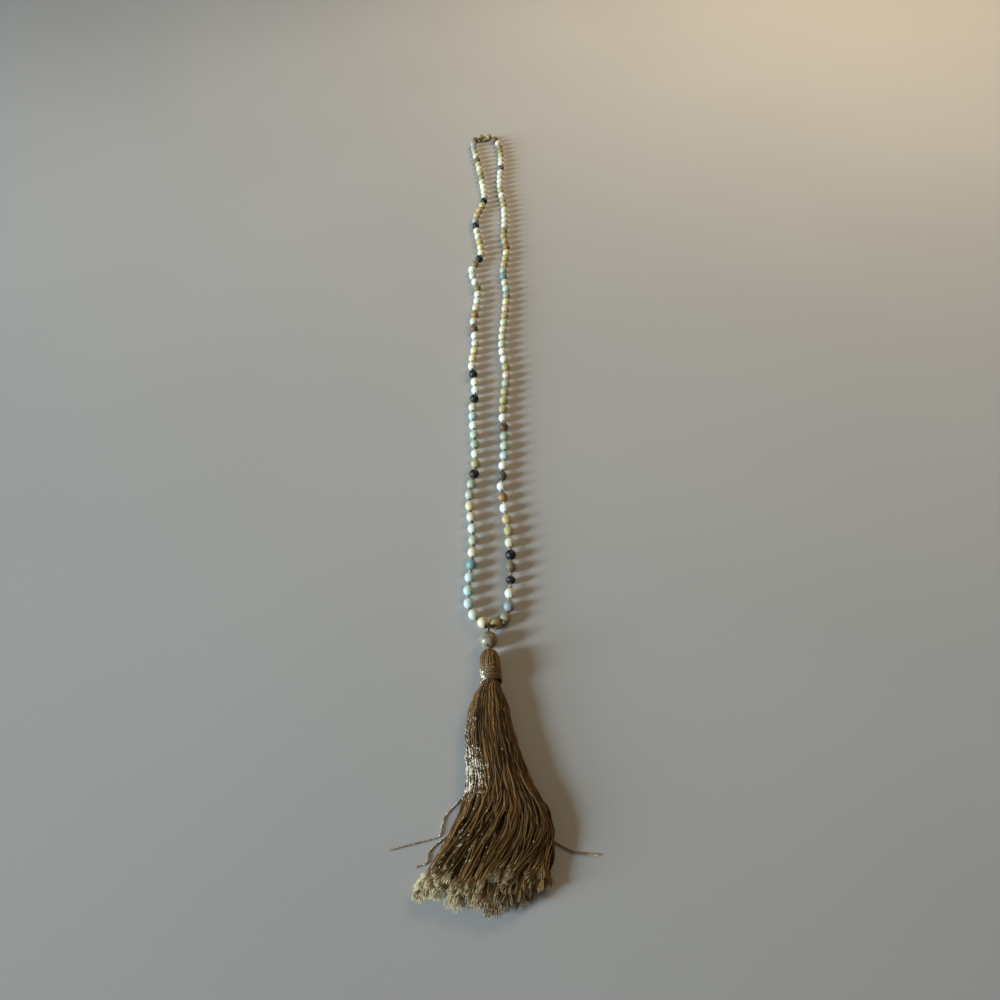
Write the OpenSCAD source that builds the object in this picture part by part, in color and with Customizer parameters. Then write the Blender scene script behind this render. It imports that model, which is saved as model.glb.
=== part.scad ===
/* [Beads] */
// Diameter of a strand bead
bead_d = 6; // [5:0.5:7]
// Diameter of the large bead above the tassel
guru_d = 9; // [8:0.5:11]

/* [Thread] */
// Diameter of the thread that the beads are strung on
thread_d = 0.7; // [0.4:0.1:0.9]
// Diameter of the knot between two beads
knot_d = 2.2; // [1.8:0.1:3]
// Diameter of the doubled thread through the large bead
stem_d = 1.1; // [0.8:0.1:1.6]
// Diameter of each knot in the cluster above the large bead
cluster_d = 1.8; // [1.2:0.1:2]

/* [Tassel] */
// Diameter of the head of folded threads
head_d = 10.2; // [9:0.2:14]
// Length of the head above the wound band
head_len = 10.9; // [9:0.2:15]
// Diameter of the neck inside the wound band
neck_d = 8.8; // [7:0.2:9]
// Length of the wound band
wrap_len = 7.6; // [5:0.2:12]
// Thickness of the wound band
wrap_t = 0.55; // [0.4:0.05:1]
// Width of one turn of the wound band
turn_w = 0.95; // [0.6:0.05:1.5]
// Length of the skirt from the band to the longest tip
skirt_len = 100; // [70:1:130]
// Half of the skirt's greatest width
skirt_half_w = 27; // [18:1:34]
// Height of the skirt as it lies
skirt_h = 9; // [6:0.5:10]
// Locks in the lower layer of the skirt
low_locks = 9; // [9:1:12]
// Locks in the upper layer of the skirt
top_locks = 8; // [8:1:11]
// Degrees that the tassel lies turned from the length of the loop
tassel_turn = 4; // [0:1:10]
// Degrees that the large bead's bore rises towards the tassel
guru_tilt = 25; // [0:5:30]
// Diameter of a stray thread
stray_d = 0.9; // [0.6:0.1:1.2]

/* [Hidden] */
$fn = 40;

// Clearances between a knot and a bead, a thread and its bore, and two soft pieces
knot_clear = 0.15;
bore_clear = 0.25;
bend_clear = 0.15;
soft_clear = 0.3;
// Extra length that a cutting tool reaches past what it cuts
over = 1;
// Width of the round joint where a thread bends, as a multiple of the thread's diameter
joint_share = 1.1;
// Stretches of thread that are joined first, before the whole loop is
block_beads = 8;
// Height of the knot cluster above the beads' middle, as a share of a bead, its knots' spacing as a
// share of their diameter, and its way from midway between the loop and the large bead
cluster_lift = 0.28;
cluster_step = 0.8;
cluster_back = 0.5;
// Sideways place of the large bead from the loop's lowest point
guru_side = -0.2;
// Free thread between the large bead and the head
guru_gap = 1;
// Nose of the head: share of its length, and power that makes it blunt
nose_share = 0.62;
nose_power = 0.8;

// Middle line of the bead loop as it lies: from the large bead up the left side and down the right
loop_route = [
  [-2.5, -212], [-6, -211], [-11, -206], [-13.5, -199.5], [-13.5, -184], [-12, -158],
  [-15, -123], [-12, -98], [-15, -47], [-13, -32], [-16.5, -4], [-14.5, 20],
  [-16.5, 44], [-14, 82], [-19.5, 112], [-13, 130], [-13, 146], [-18, 188],
  [-11, 222], [-13, 252], [-17, 285], [-23, 328], [-19.5, 342], [-12, 346.5],
  [-4, 343], [1.5, 330], [4, 300], [3, 250], [6.5, 212], [7, 180],
  [6, 160], [8.5, 143], [5.5, 108], [8, 80], [4.5, 18], [7.5, -12],
  [5, -50], [6, -85], [4, -118], [8, -150], [9, -178], [7.8, -200],
  [6, -208.5], [1, -212.7]
];
// Lengths of the loop between two points of the route that are worked out
route_steps = 12;
// Beads on each side of the large bead that lie close together, with their knots pushed out
close_beads = 2;
// Way that a pushed knot goes: outward from the loop, and up
push_out = 0.5;
push_up = 0.87;

// Skirt below the neck: share of the length, middle and half width as shares of skirt_half_w,
// height as a share of skirt_h, share of the upper layer's sweep to the left
skirt_rows = [
  [0.02, -0.06, 0.25, 0.98, 0],
  [0.05, -0.07, 0.3, 1, 0],
  [0.12, -0.07, 0.36, 1, 0],
  [0.2, -0.09, 0.41, 1, 0],
  [0.3, -0.07, 0.46, 1, 0],
  [0.4, -0.03, 0.52, 1, 0],
  [0.5, 0.02, 0.59, 1, 0],
  [0.6, 0.03, 0.705, 1, 0.2],
  [0.7, -0.05, 0.81, 0.98, 0.5],
  [0.8, -0.195, 0.895, 0.93, 0.8],
  [0.9, -0.4, 0.965, 0.84, 1],
  [1, -0.48, 0.94, 0.7, 1]
];
// Share of the neck that the locks leave from
neck_fit = 0.8;
// Power that crowds the upper locks to the left at the tips
top_sweep = 1.2;
// Share of the skirt's height that each layer fills
low_share = 0.6;
top_share = 0.66;
// Share by which the upper layer comes down at the sides of the skirt
side_fall = 0.45;
// Width of a lock as a multiple of its own share of the skirt
lock_overlap = 1.35;
// Share of the skirt's length that the tips stop short by at the left edge, where the longest
// tip lies between the edges, and how much neighbouring tips differ
tip_round = 0.11;
tip_middle = 0.72;
tip_stagger = 0.012;
// Step between the places inside the neck that the locks start from
root_step = 0.2;
// Frayed tip of a lock: share of the skirt's length, width as a share of the lock's, and its taper
fray_share = 0.012;
fray_width = 0.94;
fray_taper = 0.12;
// Sides of a lock's outline
lock_sides = 8;

// Stray threads, each a list of points on the surface, seen from the large bead's middle:
// share of half the skirt's width, share of the length from the large bead to the tips
stray_routes = [
  [[-0.635, 0.62], [-0.88, 0.67], [-0.95, 0.705], [-0.985, 0.736], [-1.1, 0.748], [-1.8, 0.775]],
  [[-0.865, 0.74], [-1.14, 0.784], [-1.18, 0.814], [-1.22, 0.827], [-1.38, 0.835]],
  [[0.762, 0.777], [1.09, 0.82], [1.28, 0.833], [1.52, 0.842]]
];

// Sizes of the loop that follow from the values above
bore_d = thread_d + 2 * bore_clear;
guru_bore_d = stem_d + 2 * bore_clear;
pitch = bead_d + knot_d + 2 * knot_clear;
close_pitch = bead_d + thread_d + 2 * bend_clear;

// Point on the closed curve through the route's points, between point i and the next
function route_point(i) = loop_route[(i + len(loop_route)) % len(loop_route)];
function blend(a, b, c, d, t) =
  0.5 * (2 * b + (c - a) * t + (2 * a - 5 * b + 4 * c - d) * t * t
  + (3 * b - a - 3 * c + d) * t * t * t);
function curve_point(i, t) =
  blend(route_point(i - 1), route_point(i), route_point(i + 1), route_point(i + 2), t);
line = [
  for (i = [0 : len(loop_route) - 1], k = [0 : route_steps - 1]) curve_point(i, k / route_steps),
  loop_route[0]
];
line_steps = [for (i = [1 : len(line) - 1]) norm(line[i] - line[i - 1])];
run = [for (s = 0, i = 0; i < len(line); s = s + (i < len(line_steps) ? line_steps[i] : 0), i = i + 1) s];
loop_len = run[len(run) - 1];
x_at_run = [for (i = [0 : len(run) - 1]) [run[i], line[i][0]]];
y_at_run = [for (i = [0 : len(run) - 1]) [run[i], line[i][1]]];
function on_loop(s) = [lookup(s, x_at_run), lookup(s, y_at_run), bead_d / 2];

// Beads along the loop, with the distances round the large bead shorter than the others
close_gaps = 2 * close_beads + 1;
bead_count = round((loop_len - close_gaps * close_pitch) / pitch) + close_gaps;
even_pitch = (loop_len - close_gaps * close_pitch) / (bead_count - close_gaps);
left_count = floor(bead_count / 2);
function bead_run(i) =
  close_pitch * (0.5 + min(i, close_beads) + max(i - (bead_count - 1 - close_beads), 0))
  + even_pitch * min(max(i - close_beads, 0), bead_count - close_gaps);
function unit(v) = v / norm(v);
function rough_bead(i) = on_loop(bead_run((i + bead_count) % bead_count));
function rough_way(i) = unit(rough_bead(i + 1) - rough_bead(i - 1));
function gap_after(i) = norm(rough_bead(i + 1) - rough_bead(i));
// Corner of the thread between bead i and the one before it
function corner(i) =
  (rough_bead(i - 1) + rough_way(i - 1) * gap_after(i - 1) / 2
  + rough_bead(i) - rough_way(i) * gap_after(i - 1) / 2) / 2;
function bead_middle(i) = (corner(i) + corner(i + 1)) / 2;
// Distance that the knot before bead i is pushed off the thread's line by beads that lie close
function push(i) =
  let (touch = (bead_d + knot_d) / 2, half = norm(bead_middle(i) - bead_middle(i - 1)) / 2)
  let (reach = touch + knot_clear + bend_clear)
  half > touch + knot_clear / 2 ? 0 : sqrt(reach * reach - half * half);
function outward(i) =
  let (way = unit(corner(i + 1) - corner(i - 1))) [way[1], -way[0], 0];
function knot_middle(i) = corner(i) - push(i) * (push_out * outward(i) - [0, 0, push_up]);

// Places of the large bead, the cluster of knots above it and the tassel below it
guru_middle = [
  corner(0)[0] + guru_side,
  corner(0)[1] - bead_d / 2 - cluster_d - knot_clear - guru_d / 2,
  guru_d / 2
];
guru_top = guru_middle[1] + guru_d / 2;
cluster_middle = [
  guru_middle[0],
  (corner(0)[1] + guru_top) / 2 - cluster_back,
  bead_d * (0.5 + cluster_lift) + cluster_d / 2
];
guru_way = [0, cos(guru_tilt), -sin(guru_tilt)];
axis_z = neck_d / 2 + soft_clear + wrap_t;
head_start = guru_d / 2 + guru_gap;
wrap_start = head_start + head_len;
skirt_start = wrap_start + wrap_len + 2 * soft_clear;
stem_depth = 3;
head_bore_d = stem_d + 7 * soft_clear;

module rod(a, b, d) {
  way = b - a;
  translate(a)
    rotate([0, acos(way[2] / norm(way)), atan2(way[1], way[0])])
      cylinder(h = norm(way), d = d);
}

module ball(at, d) {
  translate(at) sphere(d = d);
}

module drilled_bead(i) {
  a = corner(i);
  b = corner(i + 1);
  reach = over * unit(b - a);
  difference() {
    ball(bead_middle(i), bead_d);
    rod(a - reach, b + reach, bore_d);
  }
}

// Turns and moves what is drawn about the large bead's middle, with -Y towards the tips
module on_tassel() {
  translate([guru_middle[0], guru_middle[1], 0]) rotate([0, 0, tassel_turn]) children();
}

module along_axis(from) {
  translate([0, -from, axis_z]) rotate([90, 0, 0]) children();
}

// The same rows as lengths, with the neck's own size before them
skirt_sizes = concat(
  [[0, 0, neck_d / 2 * neck_fit, neck_d * neck_fit, axis_z - neck_d / 2 * neck_fit, 0]],
  [for (r = skirt_rows) [r[0], r[1] * skirt_half_w, r[2] * skirt_half_w, r[3] * skirt_h, 0, r[4]]]
);
function skirt(t, column) = lookup(t, [for (row = skirt_sizes) [row[0], row[column]]]);
// Sideways place of a lock's edge, where f runs from 0 at the left to 1 at the right of the skirt
function edge_x(f, t, sweep) =
  skirt(t, 1) + skirt(t, 2) * (2 * pow(f, 1 + sweep * skirt(t, 5)) - 1);

// Outline of the lock that lies between shares f0 and f1 of the skirt's width, at share t of its length
function lock_ring(f0, f1, t, y, low, share) =
  let (
    sweep = low ? 0 : top_sweep,
    left = edge_x(f0, t, sweep),
    right = edge_x(f1, t, sweep),
    side = f0 + f1 - 1,
    height = skirt(t, 3) * (low ? 1 : 1 - side_fall * side * side),
    tall = (low ? low_share : top_share) * height,
    middle = skirt(t, 4) + (low ? tall / 2 : height - tall / 2)
  )
  [
    for (k = [0 : lock_sides - 1])
      [
        (left + right) / 2 + (right - left) / 2 * lock_overlap * share * cos(360 * k / lock_sides),
        y,
        middle + tall / 2 * share * sin(360 * k / lock_sides)
      ]
  ];

// Closed form through rings of points, from the neck to the tips
module through_rings(rings) {
  n = lock_sides;
  last = (len(rings) - 1) * n;
  polyhedron(
    points = [for (ring = rings) each ring],
    faces = concat(
      [[for (k = [0 : n - 1]) k], [for (k = [0 : n - 1]) last + n - 1 - k]],
      [
        for (r = [0 : len(rings) - 2], k = [0 : n - 1])
          let (a = r * n + k, b = r * n + (k + 1) % n)
          each [[a, a + n, b + n], [a, b + n, b]]
      ]
    )
  );
}

module lock(j, count, low) {
  f0 = j / count;
  f1 = (j + 1) / count;
  turn = j * 2 + (low ? 0 : 1);
  short = pow((f0 + f1) / 2, low ? 1 : 1 + top_sweep) / tip_middle - 1;
  end = 1 - tip_round * short * short - tip_stagger * (turn % 3);
  function ring_y(t) = -skirt_start - t * skirt_len;
  // Ring of the frayed tip, which runs on from the lock and narrows
  function fray_ring(k) =
    lock_ring(f0, f1, end, ring_y(end + fray_share * (k - 1)), low, fray_width - k * fray_taper);
  through_rings([
    for (row = skirt_sizes)
      let (t = row[0] * end)
      lock_ring(f0, f1, t, ring_y(t) + (t == 0 ? root_step * (turn % 5) : 0), low, 1)
  ]);
  hull() {
    through_rings([fray_ring(0), fray_ring(1)]);
    through_rings([fray_ring(1), fray_ring(2)]);
  }
}

module head_outline() {
  nose = [
    for (a = [0 : 10 : 90])
      [head_d / 2 * pow(sin(a), nose_power), head_len * nose_share * (1 - cos(a))]
  ];
  shoulder = [head_d / 2, head_len - (head_d - neck_d) / 2];
  polygon(concat(nose, [shoulder, [neck_d / 2, head_len], [0, head_len]]));
}

module bead_strand_left() {
  stone = ["#d5d8cd", "#c3d0cf", "#8fb0ad", "#e2d8c0", "#b9c2b1", "#2a2a2c", "#cfc7b3"];
  for (i = [0 : left_count - 1]) color(stone[i % len(stone)]) drilled_bead(i);
}

module bead_strand_right() {
  stone = ["#e6e2d6", "#c9a874", "#bcc8c4", "#8b7a5e", "#d9d0bd", "#2a2a2c", "#c8cdb9"];
  for (i = [left_count : bead_count - 1]) color(stone[i % len(stone)]) drilled_bead(i);
}

// Thread through bead i, with the knot before it
module thread_stretch(i) {
  rod(corner(i), corner(i + 1), thread_d);
  if (i > 0) ball(knot_middle(i), knot_d);
  if (i > 0 && push(i) > 0) {
    ball(corner(i), thread_d * joint_share);
    rod(corner(i), knot_middle(i), thread_d);
  }
}

module thread_block(first) {
  for (i = [first : min(first + block_beads, bead_count) - 1]) thread_stretch(i);
}

// Doubled thread from the loop through the cluster of knots and the large bead into the head
module stem() {
  mouth = guru_middle + ((guru_d + stem_d) / 2 + soft_clear) * guru_way;
  foot = guru_middle - guru_d / 2 * guru_way;
  hold = [
    guru_middle[0] + (head_start + stem_depth) * sin(tassel_turn),
    guru_middle[1] - (head_start + stem_depth) * cos(tassel_turn),
    axis_z
  ];
  ball(corner(0), thread_d * joint_share);
  rod(corner(0), cluster_middle, thread_d);
  for (k = [-1 : 1]) ball(cluster_middle + [k * cluster_d * cluster_step, 0, 0], cluster_d);
  rod(cluster_middle, mouth, stem_d);
  ball(mouth, stem_d * joint_share);
  rod(mouth, foot, stem_d);
  ball(foot, stem_d * joint_share);
  rod(foot, hold, stem_d);
}

module knotted_thread() {
  color("#8a7350") {
    for (first = [0 : block_beads : bead_count - 1]) thread_block(first);
    stem();
  }
}

module guru_bead() {
  color("#b3ad97")
    difference() {
      ball(guru_middle, guru_d);
      reach = (guru_d / 2 + over) * guru_way;
      rod(guru_middle + reach, guru_middle - reach, guru_bore_d);
    }
}

module tassel() {
  color("#8c7148")
    on_tassel() {
      difference() {
        along_axis(head_start) {
          rotate_extrude() head_outline();
          translate([0, 0, head_len - over])
            cylinder(h = skirt_start - wrap_start + 2 * over, d = neck_d);
        }
        along_axis(head_start - over)
          cylinder(h = over + stem_depth + 2 * soft_clear, d = head_bore_d);
      }
      for (j = [0 : low_locks - 1]) lock(j, low_locks, true);
      for (j = [0 : top_locks - 1]) lock(j, top_locks, false);
    }
}

module tassel_wrap() {
  turns = round(wrap_len / turn_w);
  step = wrap_len / turns;
  inner = neck_d / 2 + soft_clear;
  color("#a58a5c")
    on_tassel()
      along_axis(wrap_start + soft_clear)
        rotate_extrude() {
          translate([inner, step / 2]) square([wrap_t / 2, wrap_len - step]);
          for (k = [0 : turns - 1])
            translate([inner + wrap_t / 2, step * (k + 0.5)]) circle(d = wrap_t);
        }
}

module stray_threads() {
  reach = skirt_start + skirt_len;
  color("#b99b66")
    on_tassel()
      for (route = stray_routes) {
        points = [for (p = route) [p[0] * skirt_half_w, -p[1] * reach, stray_d / 2]];
        for (i = [1 : len(points) - 1]) {
          hull() {
            ball(points[i - 1], stray_d, $fn = lock_sides);
            ball(points[i], stray_d, $fn = lock_sides);
          }
        }
      }
}

bead_strand_left();
bead_strand_right();
knotted_thread();
guru_bead();
tassel();
tassel_wrap();
stray_threads();
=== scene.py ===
import math

import bpy
import numpy as np
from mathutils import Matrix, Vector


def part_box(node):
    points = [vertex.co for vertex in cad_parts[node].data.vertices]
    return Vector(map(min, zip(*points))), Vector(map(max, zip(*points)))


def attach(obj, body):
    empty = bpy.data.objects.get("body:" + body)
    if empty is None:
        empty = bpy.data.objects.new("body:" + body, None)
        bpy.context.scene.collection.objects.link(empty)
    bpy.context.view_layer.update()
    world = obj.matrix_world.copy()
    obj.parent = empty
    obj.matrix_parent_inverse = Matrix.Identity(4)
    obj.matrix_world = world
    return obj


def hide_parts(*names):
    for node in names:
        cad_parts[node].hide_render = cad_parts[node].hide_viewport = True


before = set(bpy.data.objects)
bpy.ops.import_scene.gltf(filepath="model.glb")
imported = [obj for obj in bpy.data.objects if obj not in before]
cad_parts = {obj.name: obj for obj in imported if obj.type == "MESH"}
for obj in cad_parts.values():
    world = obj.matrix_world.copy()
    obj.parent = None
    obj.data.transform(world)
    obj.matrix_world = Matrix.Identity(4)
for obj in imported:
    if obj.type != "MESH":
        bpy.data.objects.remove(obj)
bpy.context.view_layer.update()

MM = 0.001
FULL_TURN = 2 * math.pi

# Sizes of the tassel and the thread, in millimetres and radians, as on the solids
HEAD_D = 10.2
HEAD_LEN = 10.9
NECK_D = 8.8
HEAD_START = 5.5
WRAP_START = 16.7
WRAP_LEN = 7.6
SKIRT_START = 24.6
SKIRT_LEN = 100
SKIRT_HALF_W = 27
SKIRT_H = 9
TASSEL_TURN = math.radians(4)
GURU_TILT = math.radians(25)
THREAD_D = 0.7
STEM_D = 1.1
CLUSTER_D = 1.8
STRAY_D = 0.9
AXIS_Z = 5.25

# Radii of the bores, and the share by which the large bead is wider than its solid
BORE_R = 0.55
LARGE_BORE_R = 0.72
LARGE_BEAD_EXTRA = 0.03
# One black bead of the right strand is smaller and flatter: its place from 0, its size and length as shares
FLAT_BEAD = 4
FLAT_BEAD_SIZE = 0.9
FLAT_BEAD_LENGTH = 0.78

# Knots: size of the path and radius of the thread. A tight one is for a gap too small for a plain one
PLAIN_KNOT = (0.7, 0.4)
TIGHT_KNOT = (0.5, 0.32)
CLUSTER_KNOT = (0.7, 0.44)
# Half the gap that a plain knot needs, and the least way from a bead's surface to a tight knot's middle
CLOSE_GAP = 1.2
TIGHT_KNOT_REACH = 0.85
# Way that a knot is pushed where the beads lie too close for it: outward from the loop, and up
PUSH_OUT = 0.5
PUSH_UP = 0.87
# Cluster of knots: height of its underside in radii of a bead, and spacing as a share of CLUSTER_D
CLUSTER_LIFT = 1.56
CLUSTER_SPACING = 0.8

# Points along a thread of the skirt and its radius, threads over the head, turns of the band, fibres at
# the end of each thread and a fibre's radius
THREAD_STEPS = 72
SKIRT_THREAD_R = 0.37
HEAD_THREADS = 46
BAND_TURNS = 9
FIBRES_AT_END = 26
FIBRE_R = 0.14
# Length in which the two plies of a stray thread go round each other once
STRAY_TWIST = 2.4

# Camera in metres, degrees and millimetres, half the floor's width in metres, colour of the window's light
CAMERA_PLACE = (0.003, -0.415, 0.345)
CAMERA_FROM_STRAIGHT_DOWN = 40.04
CAMERA_LENS = 27.07
FLOOR_HALF = 8
WINDOW_LIGHT = (0.7, 0.88, 1.0)

# Stones of the strands, from the large bead to the far end, one letter for each bead
LEFT_STONES = (
    "zlbabecjlc" "yjjdkijmwa" "cdwidiyycw" "rcucwioimw" "odcykccdgt" "tkdccicokc" "krckggro"
)
RIGHT_STONES = (
    "qnvidhdckt" "wuwxibmjrw" "kkkjpkiimc" "cmtpygmces" "tkyukkocci" "ckkikcicix" "ickoocro"
)

# Each kind of stone: its main colour, the colour of its clouds, and how much they show
STONES = {
    "w": ("#dcdfd3", "#c3c9be", 0.5),
    "i": ("#dcd9c4", "#c8c1a4", 0.5),
    "b": ("#bccbc8", "#a3b3b0", 0.6),
    "a": ("#a4b8b0", "#bccac0", 0.6),
    "m": ("#bcc4aa", "#a7b199", 0.5),
    "s": ("#98a491", "#b0b59b", 0.6),
    "e": ("#739797", "#5b7e80", 0.7),
    "v": ("#8a9793", "#717f7c", 0.6),
    "c": ("#d2cbb1", "#bdb08c", 0.6),
    "y": ("#d7cc9f", "#c3ae73", 0.8),
    "k": ("#b1a575", "#948655", 0.7),
    "t": ("#bca777", "#a08450", 0.8),
    "p": ("#cdbaa4", "#b59c84", 0.6),
    "u": ("#9c7844", "#79552c", 0.8),
    "r": ("#6a5138", "#483425", 0.8),
    "o": ("#93865a", "#6e6038", 0.8),
    "g": ("#9b9a8c", "#817d6c", 0.7),
    "h": ("#867d64", "#4d3a27", 1.0),
    "x": ("#56564f", "#3d3b35", 0.6),
    "d": ("#050506", "#0d0d0f", 0.6),
    "z": ("#d3c8a6", "#b8944f", 1.0),
    "l": ("#c8cec3", "#b5bbaf", 0.5),
    "j": ("#a4aa95", "#b3b69e", 0.6),
    "n": ("#918769", "#a59c7d", 0.7),
    "q": ("#9a8755", "#77663c", 0.8),
}

# Skirt: share of its length, middle and half width as shares of SKIRT_HALF_W, height as a share of SKIRT_H
SKIRT_ROWS = np.array([
    [-0.08, 0, 0.163, 0.98],
    [-0.01, 0, 0.163, 0.98],
    [0.015, -0.03, 0.2, 0.99],
    [0.05, -0.06, 0.265, 1],
    [0.12, -0.07, 0.36, 1],
    [0.2, -0.09, 0.41, 1],
    [0.3, -0.07, 0.46, 1],
    [0.4, -0.03, 0.52, 1],
    [0.5, 0.02, 0.59, 1],
    [0.6, 0.05, 0.73, 1],
    [0.7, -0.015, 0.85, 0.98],
    [0.8, -0.16, 0.935, 0.93],
    [0.9, -0.37, 0.985, 0.84],
    [1, -0.48, 0.95, 0.7],
    [1.1, -0.5, 0.95, 0.55],
])
# Power of the rounded section of the skirt, and the height of its widest line as a share of its height
SECTION_POWER = 2.5
WIDEST_SHARE = 0.4
# Width of the threads as a share of the half width, above and below the bend
SIDE_SPREAD = (1.0, 1.06)

# Stray threads on the surface: share of half the skirt's width, share of the length from the large bead
STRAY_ROUTES = [
    [[-0.635, 0.62], [-0.88, 0.67], [-0.95, 0.705], [-0.985, 0.736], [-1.1, 0.748], [-1.8, 0.775]],
    [[-0.865, 0.74], [-1.14, 0.784], [-1.18, 0.814], [-1.22, 0.827], [-1.38, 0.835]],
    [[0.762, 0.777], [1.09, 0.82], [1.28, 0.833], [1.52, 0.842]],
]


# Colours and small helpers

def paint(code):
    """Linear colour of a six-digit code."""
    values = [int(code[k:k + 2], 16) / 255 for k in (1, 3, 5)]
    linear = [v / 12.92 if v <= 0.04045 else ((v + 0.055) / 1.055) ** 2.4 for v in values]
    return (*linear, 1.0)


def smooth(low, high, value):
    """Share from 0 at low to 1 at high, with soft ends."""
    t = np.clip((value - low) / (high - low), 0, 1)
    return t * t * (3 - 2 * t)


def unit(v):
    return v / np.maximum(np.linalg.norm(v, axis=-1, keepdims=True), 1e-12)


def box_middle(node):
    """Middle of a CAD node's box, in millimetres."""
    low, high = map(np.array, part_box(node))
    return (low + high) / 2 / MM


# Materials

class Nodes:
    """A material's nodes, made and joined in short calls."""

    def __init__(self, name):
        self.material = bpy.data.materials.new(name)
        self.material.use_nodes = True
        self.tree = self.material.node_tree
        self.shader = self.tree.nodes["Principled BSDF"]

    def add(self, kind, **values):
        node = self.tree.nodes.new(kind)
        for key, value in values.items():
            setattr(node, key, value)
        return node

    def join(self, output, target):
        self.tree.links.new(output, target)

    def attribute(self, name, output="Fac"):
        return self.add("ShaderNodeAttribute", attribute_name=name).outputs[output]

    def noise(self, scale, detail=3.0, roughness=0.55):
        node = self.add("ShaderNodeTexNoise")
        node.inputs["Scale"].default_value = scale
        node.inputs["Detail"].default_value = detail
        node.inputs["Roughness"].default_value = roughness
        self.join(self.add("ShaderNodeTexCoord").outputs["Object"], node.inputs["Vector"])
        return node.outputs["Fac"]

    def math(self, operation, first, second=None, third=None):
        node = self.add("ShaderNodeMath", operation=operation)
        for socket, value in zip(node.inputs, (first, second, third)):
            if value is None:
                continue
            if isinstance(value, (int, float)):
                socket.default_value = value
            else:
                self.join(value, socket)
        return node.outputs[0]

    def spread(self, value, low, high, to_low=0.0, to_high=1.0):
        node = self.add("ShaderNodeMapRange", clamp=True)
        for key, number in (("From Min", low), ("From Max", high), ("To Min", to_low), ("To Max", to_high)):
            node.inputs[key].default_value = number
        self.join(value, node.inputs["Value"])
        return node.outputs["Result"]

    def mix(self, share, first, second, blend="MIX"):
        node = self.add("ShaderNodeMix", data_type="RGBA", blend_type=blend)
        for socket, value in ((node.inputs[0], share), (node.inputs[6], first), (node.inputs[7], second)):
            if isinstance(value, (int, float, tuple)):
                socket.default_value = value
            else:
                self.join(value, socket)
        return node.outputs[2]

    def bump(self, height, strength, distance):
        node = self.add("ShaderNodeBump")
        node.inputs["Strength"].default_value = strength
        node.inputs["Distance"].default_value = distance
        self.join(height, node.inputs["Height"])
        self.join(node.outputs["Normal"], self.shader.inputs["Normal"])


def stone_material(name, rough_low, rough_high, coat, cloud_scale):
    """Matte polished stone: two clouded colours from the bead, dark specks and a fine frosted surface."""
    m = Nodes(name)
    clouds = m.noise(cloud_scale, 4, 0.6)
    share = m.math("MULTIPLY", m.spread(clouds, 0.4, 0.66), m.attribute("clouds"))
    body = m.mix(share, m.attribute("stone", "Color"), m.attribute("cloud", "Color"))
    light = m.mix(m.spread(m.noise(700, 2), 0.56, 0.75, 0, 0.3), body, (0.9, 0.9, 0.86, 1), "SOFT_LIGHT")
    specks = m.spread(m.noise(1500, 2, 0.7), 0.66, 0.74, 0, 0.45)
    m.join(m.mix(specks, light, (0.16, 0.13, 0.1, 1)), m.shader.inputs["Base Color"])
    m.join(m.spread(m.noise(900, 3), 0.3, 0.7, rough_low, rough_high), m.shader.inputs["Roughness"])
    m.shader.inputs["Coat Weight"].default_value = coat
    m.shader.inputs["Coat Roughness"].default_value = 0.3
    m.bump(m.noise(2600, 3, 0.6), 0.25, 0.00006)
    return m.material


def spun_material(name, codes, rough, twist_mm, fleck_mm):
    """Shiny spun thread: two twisted plies with painted shade in the grooves between them, a tone for each
    thread, painted shade on threads that lie deep, and bright metal flecks whose bright colour is a painted
    glint. codes gives its dark, light, tip and glint colours."""
    dark, light, tip, glint = map(paint, codes)
    m = Nodes(name)
    along, around = uv_parts(m)
    turns = m.math("ADD", m.math("DIVIDE", along, twist_mm), around)
    plies = m.math("SINE", m.math("MULTIPLY", turns, 2 * FULL_TURN))
    tone = m.attribute("tone")
    patches = m.noise(120, 3)
    share = m.math("ADD", m.math("MULTIPLY", tone, 0.8), m.math("MULTIPLY", m.spread(patches, 0.3, 0.7), 0.2))
    body = m.mix(share, dark, light)
    # Painted shade: the grooves between the two plies are darkened towards a dark brown.
    groove_shade = m.spread(plies, -1, -0.2, 0.3, 0)
    body = m.mix(groove_shade, body, tuple(0.35 * c for c in dark[:3]) + (1,))
    body = m.mix(m.attribute("tip"), body, tip)
    # Painted shade: threads that lie deep among the others are darkened almost to black, and made rougher
    # below.
    body = m.mix(m.attribute("depth_shade"), body, tuple(0.08 * c for c in dark[:3]) + (1,))
    # The flecks are the thread's metal fibres, but their bright colour is a painted glint.
    flecks, shine = fleck_mask(m, along, around, fleck_mm)
    metal = m.mix(shine, tuple(0.5 * a + 0.5 * b for a, b in zip(light, glint)), glint)
    m.join(m.mix(flecks, body, metal), m.shader.inputs["Base Color"])
    dull = m.math("MULTIPLY_ADD", m.attribute("depth_shade"), 0.9 - rough, rough)
    m.join(m.math("SUBTRACT", dull, m.math("MULTIPLY", flecks, rough - 0.22)), m.shader.inputs["Roughness"])
    m.shader.inputs["Specular IOR Level"].default_value = 0.18
    m.bump(plies, 0.5, 0.00012)
    return m.material


def uv_parts(m):
    """Millimetres along a thread and share of a turn around it."""
    parts = m.add("ShaderNodeSeparateXYZ")
    m.join(m.add("ShaderNodeUVMap", uv_map="spin").outputs["UV"], parts.inputs[0])
    return parts.outputs[0], parts.outputs[1]


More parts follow.
